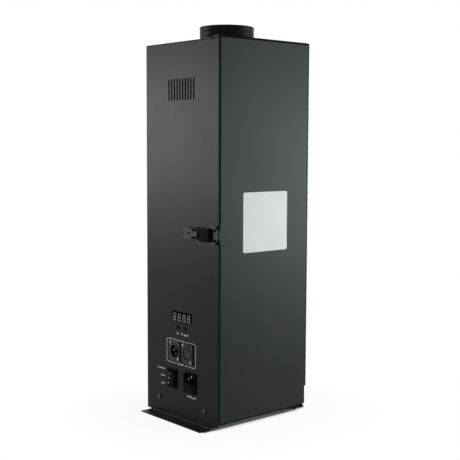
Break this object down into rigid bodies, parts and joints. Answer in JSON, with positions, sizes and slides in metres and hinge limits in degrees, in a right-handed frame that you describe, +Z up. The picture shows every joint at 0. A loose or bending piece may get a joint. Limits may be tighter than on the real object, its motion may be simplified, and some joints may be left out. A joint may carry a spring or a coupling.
{
  "type": "stage flame machine",
  "caption": "Tall sheet-steel cabinet with a hinged side door and toggle latch, a control panel, and inside it a spray can pressed against a nozzle below a spark gap and a round outlet.",
  "frame": {"origin": "on the floor, below the middle of the cabinet and of its two mounting flanges", "axes": "+Z up to the outlet, -Y out of the front with the control panel, +X out of the hinged door"},
  "size_m": [0.174, 0.2158, 0.5965],
  "materials": {
    "powder_coat": "black fine-textured powder coat",
    "door_coat": "black satin powder coat",
    "black_steel": "black satin finish",
    "zinc_steel": "zinc plated",
    "black_plastic": "satin",
    "switch_plastic": "semi-gloss",
    "dark_window": "clear-coated dark window",
    "brass": "turned",
    "heat_steel": "heat-tinted",
    "ceramic": "glazed ceramic",
    "board_green": "solder resist",
    "can_paint": "silver lacquer",
    "fuse_glass": "clear",
    "cast_resin": "cast resin"
  },
  "bodies": {
    "cabinet": {"cabinet_shell": "powder_coat", "left_side_panel": "powder_coat", "base_tray": "powder_coat", "base_screw_front_left": "black_steel", "base_screw_front_right": "black_steel", "base_screw_rear_left": "black_steel", "base_screw_rear_right": "black_steel", "outlet_collar": "black_steel", "flame_tube": "heat_steel", "body_hinge_leaf": "black_steel", "hinge_pin": "zinc_steel", "latch_base": "black_steel", "display_module": "dark_window", "control_board": "board_green", "signal_in_socket": "black_steel", "signal_in_contacts": "brass", "signal_out_socket": "black_steel", "signal_in_upper_screw": "black_steel", "signal_in_lower_screw": "black_steel", "signal_out_upper_screw": "black_steel", "signal_out_lower_screw": "black_steel", "mode_switch_housing": "black_plastic", "power_inlet": "black_plastic", "inlet_contacts": "zinc_steel", "can_shelf": "zinc_steel", "nozzle_bracket": "zinc_steel", "heat_shield": "heat_steel", "press_solenoid": "black_steel", "press_spring": "zinc_steel", "can_clip": "zinc_steel", "nozzle_block": "brass", "nozzle": "brass", "left_insulator": "ceramic", "right_insulator": "ceramic", "left_electrode": "heat_steel", "right_electrode": "heat_steel", "power_supply": "zinc_steel", "ignition_transformer": "cast_resin", "tilt_switch": "zinc_steel", "door_sensor": "black_plastic"},
    "door": {"door_panel": "door_coat", "door_hinge_leaf": "black_steel", "latch_keeper": "black_steel", "door_magnet": "black_plastic"},
    "latch_lever": {"latch_lever": "black_steel", "latch_link_pin": "zinc_steel"},
    "latch_link": {"latch_link": "black_steel"},
    "button_up": {"button_up": "black_plastic"},
    "button_down": {"button_down": "black_plastic"},
    "release_tab": {"signal_out_release_tab": "zinc_steel"},
    "mode_rocker": {"mode_switch_rocker": "switch_plastic"},
    "fuse_drawer": {"fuse_drawer": "switch_plastic", "fuse": "fuse_glass"},
    "can_carriage": {"can_cup": "zinc_steel", "fuel_can": "can_paint", "press_plunger": "zinc_steel"}
  },
  "joints": [
    {"name": "door_hinge", "type": "hinge", "parent": "cabinet", "child": "door", "pos_m": [0.0848, 0.09065, 0.3], "axis": [0, 0, 1], "range_deg": [0, 180]},
    {"name": "latch_lever_hinge", "type": "hinge", "parent": "cabinet", "child": "latch_lever", "pos_m": [0.046, -0.0935, 0.289], "axis": [0, 0, 1], "range_deg": [0, 120]},
    {"name": "latch_link_hinge", "type": "hinge", "parent": "latch_lever", "child": "latch_link", "pos_m": [0.0418, -0.0935, 0.289], "axis": [0, 0, 1], "range_deg": [-120, 0]},
    {"name": "button_up_slide", "type": "slide", "parent": "cabinet", "child": "button_up", "axis": [0, 1, 0], "range_m": [0, 0.0008], "stiffness_N_per_m": 600, "springref_m": -0.001},
    {"name": "button_down_slide", "type": "slide", "parent": "cabinet", "child": "button_down", "axis": [0, 1, 0], "range_m": [0, 0.0008], "stiffness_N_per_m": 600, "springref_m": -0.001},
    {"name": "release_tab_slide", "type": "slide", "parent": "cabinet", "child": "release_tab", "axis": [0, 1, 0], "range_m": [0, 0.0012], "stiffness_N_per_m": 800, "springref_m": -0.001},
    {"name": "mode_rocker_hinge", "type": "hinge", "parent": "cabinet", "child": "mode_rocker", "pos_m": [-0.0224, -0.0875, 0.0613], "axis": [1, 0, 0], "range_deg": [-9, 9]},
    {"name": "fuse_drawer_slide", "type": "slide", "parent": "cabinet", "child": "fuse_drawer", "axis": [0, -1, 0], "range_m": [0, 0.018]},
    {"name": "can_press_slide", "type": "slide", "parent": "cabinet", "child": "can_carriage", "axis": [0, 0, 1], "range_m": [0, 0.003], "stiffness_N_per_m": 1500, "springref_m": -0.004, "deforming": ["press_spring"]}
  ],
  "couplings": [
    {"joint": "latch_link_hinge", "follows": "latch_lever_hinge", "ratio": -1}
  ]
}
